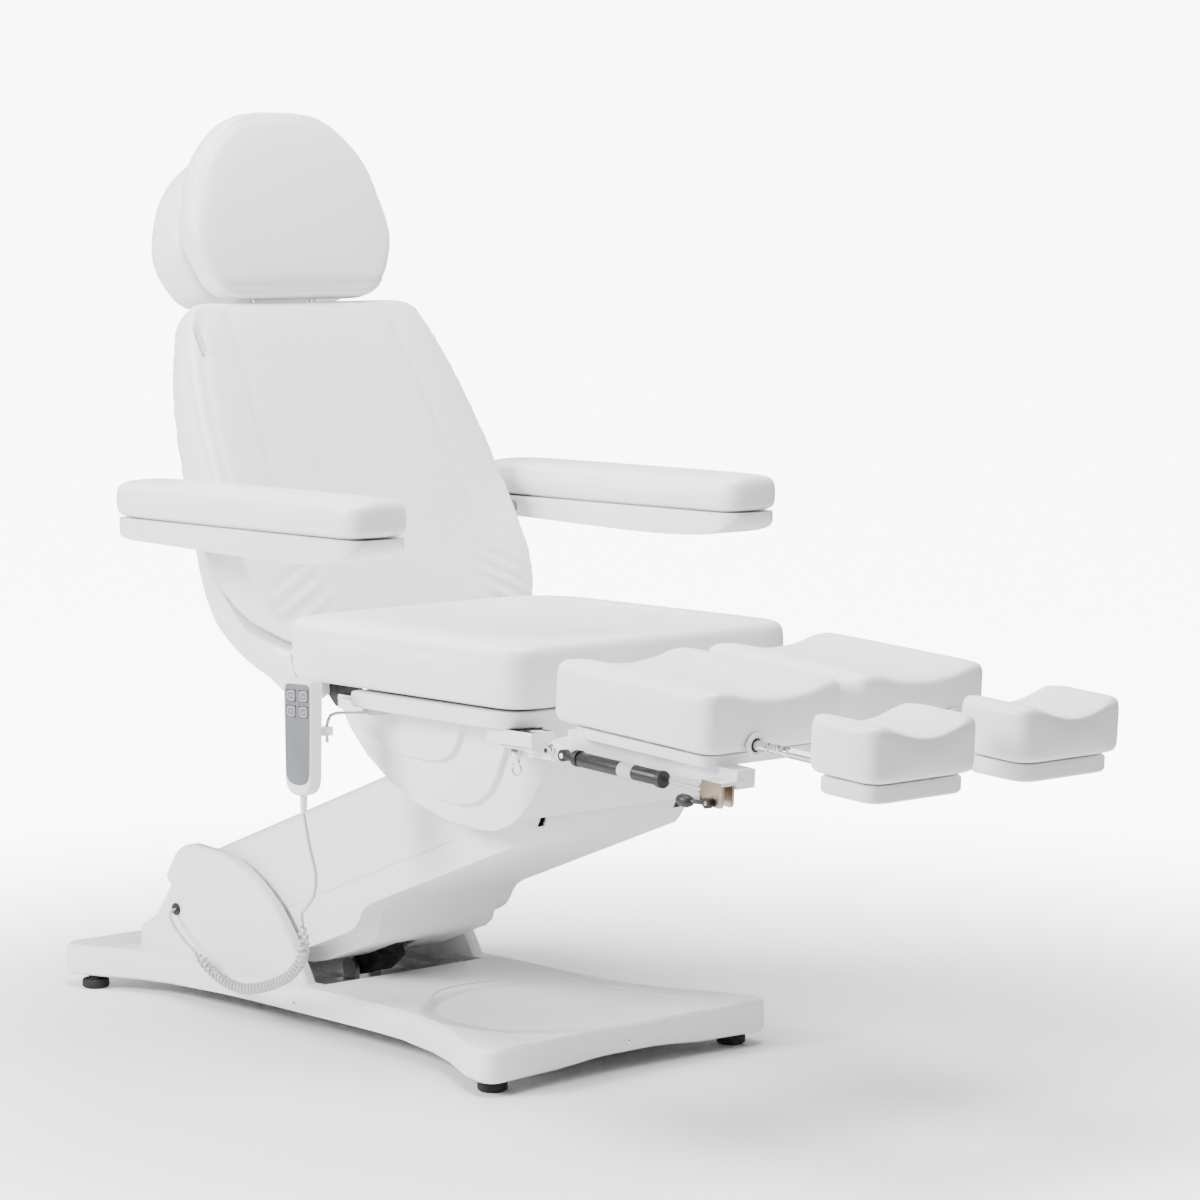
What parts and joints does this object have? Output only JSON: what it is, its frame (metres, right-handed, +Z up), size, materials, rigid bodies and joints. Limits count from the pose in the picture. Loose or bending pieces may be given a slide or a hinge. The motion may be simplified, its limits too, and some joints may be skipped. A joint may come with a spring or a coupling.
{
  "type": "electric podiatry chair",
  "caption": "White electric beauty and podiatry chair on a pedestal lifting arm, with reclining back, headrest, swing-up armrests, split swivelling leg rests and a corded handset.",
  "frame": {"origin": "on the floor, midway along the chair's length and width", "axes": "+X from the base's rear to the footrests, +Y to the sitter's left, +Z up"},
  "size_m": [1.7221, 0.804, 1.3355],
  "materials": {
    "upholstery": "satin, fine grain",
    "white_shell": "satin moulded",
    "white_metal": "satin powder coat",
    "frame_steel": "zinc plated",
    "black_steel": "satin powder coat",
    "chrome": "polished",
    "black_plastic": "matt",
    "grey_panel": "satin",
    "rubber": "matt",
    "cord_sheath": "satin"
  },
  "bodies": {
    "base": {"base_frame": "frame_steel", "rear_base_cover": "white_shell", "front_base_cover": "white_shell", "control_box": "black_plastic", "cable_grommet": "black_plastic", "cord_lower": "cord_sheath"},
    "lift_arm": {"lift_arm_frame": "frame_steel", "arm_cover_top": "white_shell", "arm_cover_bottom": "white_shell", "cord_coil": "cord_sheath"},
    "link": {"levelling_link": "frame_steel"},
    "lift_motor": {"lift_actuator_body": "black_plastic"},
    "lift_rod": {"lift_actuator_rod": "chrome"},
    "seat": {"seat_bracket": "black_steel", "seat_undercover": "white_shell", "seat_tray": "white_shell", "seat_cushion": "upholstery", "back_actuator_body": "black_plastic", "handset_shell": "white_shell", "handset_panel": "grey_panel", "handset_hook": "frame_steel", "strain_relief": "white_shell", "cord_upper": "cord_sheath"},
    "back": {"back_frame": "frame_steel", "back_shell": "white_shell", "back_cushion": "upholstery"},
    "back_rod": {"back_actuator_rod": "chrome"},
    "head_slide": {"headrest_bar": "chrome"},
    "head": {"headrest_core": "upholstery", "headrest_pillow": "upholstery"},
    "armrest_right": {"armrest_shell_right": "white_shell", "armrest_pad_right": "upholstery"},
    "swivel_right": {"swivel_bracket_right": "white_metal"},
    "plunger_right": {"lock_plunger_right": "chrome"},
    "leg_right": {"leg_beam_right": "white_metal", "leg_pad_right": "upholstery"},
    "spring_right": {"gas_spring_cylinder_right": "black_plastic"},
    "spring_rod_right": {"gas_spring_rod_right": "chrome"},
    "lever_right": {"release_lever_right": "black_plastic"},
    "footrest_right": {"footrest_tray_right": "white_metal", "footrest_pad_right": "upholstery"},
    "armrest_left": {"armrest_shell_left": "white_shell", "armrest_pad_left": "upholstery"},
    "swivel_left": {"swivel_bracket_left": "white_metal"},
    "plunger_left": {"lock_plunger_left": "chrome"},
    "leg_left": {"leg_beam_left": "white_metal", "leg_pad_left": "upholstery"},
    "spring_left": {"gas_spring_cylinder_left": "black_plastic"},
    "spring_rod_left": {"gas_spring_rod_left": "chrome"},
    "lever_left": {"release_lever_left": "black_plastic"},
    "footrest_left": {"footrest_tray_left": "white_metal", "footrest_pad_left": "upholstery"},
    "key_back_up": {"button_back_up": "grey_panel"},
    "key_back_down": {"button_back_down": "grey_panel"},
    "key_seat_up": {"button_seat_up": "grey_panel"},
    "key_seat_down": {"button_seat_down": "grey_panel"},
    "foot_rear_right": {"levelling_foot_rear_right": "rubber"},
    "foot_rear_left": {"levelling_foot_rear_left": "rubber"},
    "foot_front_right": {"levelling_foot_front_right": "rubber"},
    "foot_front_left": {"levelling_foot_front_left": "rubber"}
  },
  "joints": [
    {"name": "lift", "type": "hinge", "parent": "base", "child": "lift_arm", "pos_m": [-0.566, 0, 0.175], "axis": [0, -1, 0], "range_deg": [0, 26]},
    {"name": "seat_level", "type": "hinge", "parent": "lift_arm", "child": "seat", "pos_m": [0.03149, 0, 0.40436], "axis": [0, -1, 0], "range_deg": [-26, 0]},
    {"name": "link_swing", "type": "hinge", "parent": "base", "child": "link", "pos_m": [-0.566, 0, 0.22], "axis": [0, -1, 0], "range_deg": [0, 26]},
    {"name": "lift_actuator_swing", "type": "hinge", "parent": "base", "child": "lift_motor", "pos_m": [-0.426, 0, 0.06], "axis": [0, -1, 0], "range_deg": [0, 26]},
    {"name": "lift_actuator_stroke", "type": "slide", "parent": "lift_motor", "child": "lift_rod", "axis": [0.7766, 0, 0.63], "range_m": [0, 0.083]},
    {"name": "recline", "type": "hinge", "parent": "seat", "child": "back", "pos_m": [-0.296, 0, 0.535], "axis": [0, -1, 0], "range_deg": [0, 60]},
    {"name": "back_actuator_stroke", "type": "slide", "parent": "seat", "child": "back_rod", "axis": [-0.9975, 0, -0.0708], "range_m": [-0.1, 0]},
    {"name": "headrest_slide", "type": "slide", "parent": "back", "child": "head_slide", "axis": [-0.4924, 0, 0.8704], "range_m": [0, 0.06]},
    {"name": "headrest_tilt", "type": "hinge", "parent": "head_slide", "child": "head", "pos_m": [-0.62587, 0, 1.07336], "axis": [0, 1, 0], "range_deg": [-25, 5]},
    {"name": "armrest_swing_right", "type": "hinge", "parent": "back", "child": "armrest_right", "pos_m": [-0.424, -0.3, 0.734], "axis": [0, -1, 0], "range_deg": [0, 110]},
    {"name": "leg_swivel_right", "type": "hinge", "parent": "seat", "child": "swivel_right", "pos_m": [0.229, -0.225, 0.47], "axis": [0, 0, -1], "range_deg": [0, 40]},
    {"name": "lock_plunger_right", "type": "slide", "parent": "swivel_right", "child": "plunger_right", "axis": [0, 0, -1], "range_m": [0, 0.008], "stiffness_N_per_m": 500, "springref_m": -0.01},
    {"name": "leg_tilt_right", "type": "hinge", "parent": "swivel_right", "child": "leg_right", "pos_m": [0.26, -0.205, 0.479], "axis": [0, 1, 0], "range_deg": [0, 30]},
    {"name": "spring_swing_right", "type": "hinge", "parent": "swivel_right", "child": "spring_right", "pos_m": [0.29793, -0.238, 0.47668], "axis": [0, 1, 0], "range_deg": [0, 38]},
    {"name": "spring_stroke_right", "type": "slide", "parent": "spring_right", "child": "spring_rod_right", "axis": [0.9985, 0, -0.054], "range_m": [0, 0.02]},
    {"name": "release_lever_right", "type": "hinge", "parent": "leg_right", "child": "lever_right", "pos_m": [0.58877, -0.255, 0.44887], "axis": [0, 1, 0], "range_deg": [0, 12], "stiffness_Nm_per_rad": 0.5, "springref_deg": -17.19},
    {"name": "footrest_slide_right", "type": "slide", "parent": "leg_right", "child": "footrest_right", "axis": [0.9981, 0, -0.061], "range_m": [-0.1, 0.08]},
    {"name": "armrest_swing_left", "type": "hinge", "parent": "back", "child": "armrest_left", "pos_m": [-0.424, 0.3, 0.734], "axis": [0, -1, 0], "range_deg": [0, 110]},
    {"name": "leg_swivel_left", "type": "hinge", "parent": "seat", "child": "swivel_left", "pos_m": [0.229, 0.225, 0.47], "axis": [0, 0, 1], "range_deg": [0, 40]},
    {"name": "lock_plunger_left", "type": "slide", "parent": "swivel_left", "child": "plunger_left", "axis": [0, 0, -1], "range_m": [0, 0.008], "stiffness_N_per_m": 500, "springref_m": -0.01},
    {"name": "leg_tilt_left", "type": "hinge", "parent": "swivel_left", "child": "leg_left", "pos_m": [0.26, 0.205, 0.479], "axis": [0, 1, 0], "range_deg": [0, 30]},
    {"name": "spring_swing_left", "type": "hinge", "parent": "swivel_left", "child": "spring_left", "pos_m": [0.29793, 0.238, 0.47668], "axis": [0, 1, 0], "range_deg": [0, 38]},
    {"name": "spring_stroke_left", "type": "slide", "parent": "spring_left", "child": "spring_rod_left", "axis": [0.9985, 0, -0.054], "range_m": [0, 0.02]},
    {"name": "release_lever_left", "type": "hinge", "parent": "leg_left", "child": "lever_left", "pos_m": [0.58877, 0.255, 0.44887], "axis": [0, 1, 0], "range_deg": [0, 12], "stiffness_Nm_per_rad": 0.5, "springref_deg": -17.19},
    {"name": "footrest_slide_left", "type": "slide", "parent": "leg_left", "child": "footrest_left", "axis": [0.9981, 0, -0.061], "range_m": [-0.1, 0.08]},
    {"name": "press_back_up", "type": "slide", "parent": "seat", "child": "key_back_up", "axis": [-0.2079, 0.9781, 0], "range_m": [0, 0.001], "stiffness_N_per_m": 600},
    {"name": "press_back_down", "type": "slide", "parent": "seat", "child": "key_back_down", "axis": [-0.2079, 0.9781, 0], "range_m": [0, 0.001], "stiffness_N_per_m": 600},
    {"name": "press_seat_up", "type": "slide", "parent": "seat", "child": "key_seat_up", "axis": [-0.2079, 0.9781, 0], "range_m": [0, 0.001], "stiffness_N_per_m": 600},
    {"name": "press_seat_down", "type": "slide", "parent": "seat", "child": "key_seat_down", "axis": [-0.2079, 0.9781, 0], "range_m": [0, 0.001], "stiffness_N_per_m": 600},
    {"name": "level_rear_right", "type": "slide", "parent": "base", "child": "foot_rear_right", "axis": [0, 0, 1], "range_m": [-0.01, 0]},
    {"name": "level_rear_left", "type": "slide", "parent": "base", "child": "foot_rear_left", "axis": [0, 0, 1], "range_m": [-0.01, 0]},
    {"name": "level_front_right", "type": "slide", "parent": "base", "child": "foot_front_right", "axis": [0, 0, 1], "range_m": [-0.01, 0]},
    {"name": "level_front_left", "type": "slide", "parent": "base", "child": "foot_front_left", "axis": [0, 0, 1], "range_m": [-0.01, 0]}
  ],
  "couplings": [
    {"joint": "seat_level", "follows": "lift", "ratio": -1},
    {"joint": "link_swing", "follows": "lift", "ratio": 1},
    {"joint": "lift_actuator_swing", "follows": "lift", "ratio": 0.98881},
    {"joint": "lift_actuator_stroke", "follows": "lift", "m_per_rad": 0.17958},
    {"joint": "back_actuator_stroke", "follows": "recline", "m_per_rad": -0.09397},
    {"joint": "spring_swing_right", "follows": "leg_tilt_right", "ratio": 1.1256},
    {"joint": "spring_stroke_right", "follows": "leg_tilt_right", "m_per_rad": 0.01066},
    {"joint": "spring_swing_left", "follows": "leg_tilt_left", "ratio": 1.1256},
    {"joint": "spring_stroke_left", "follows": "leg_tilt_left", "m_per_rad": 0.01066}
  ]
}
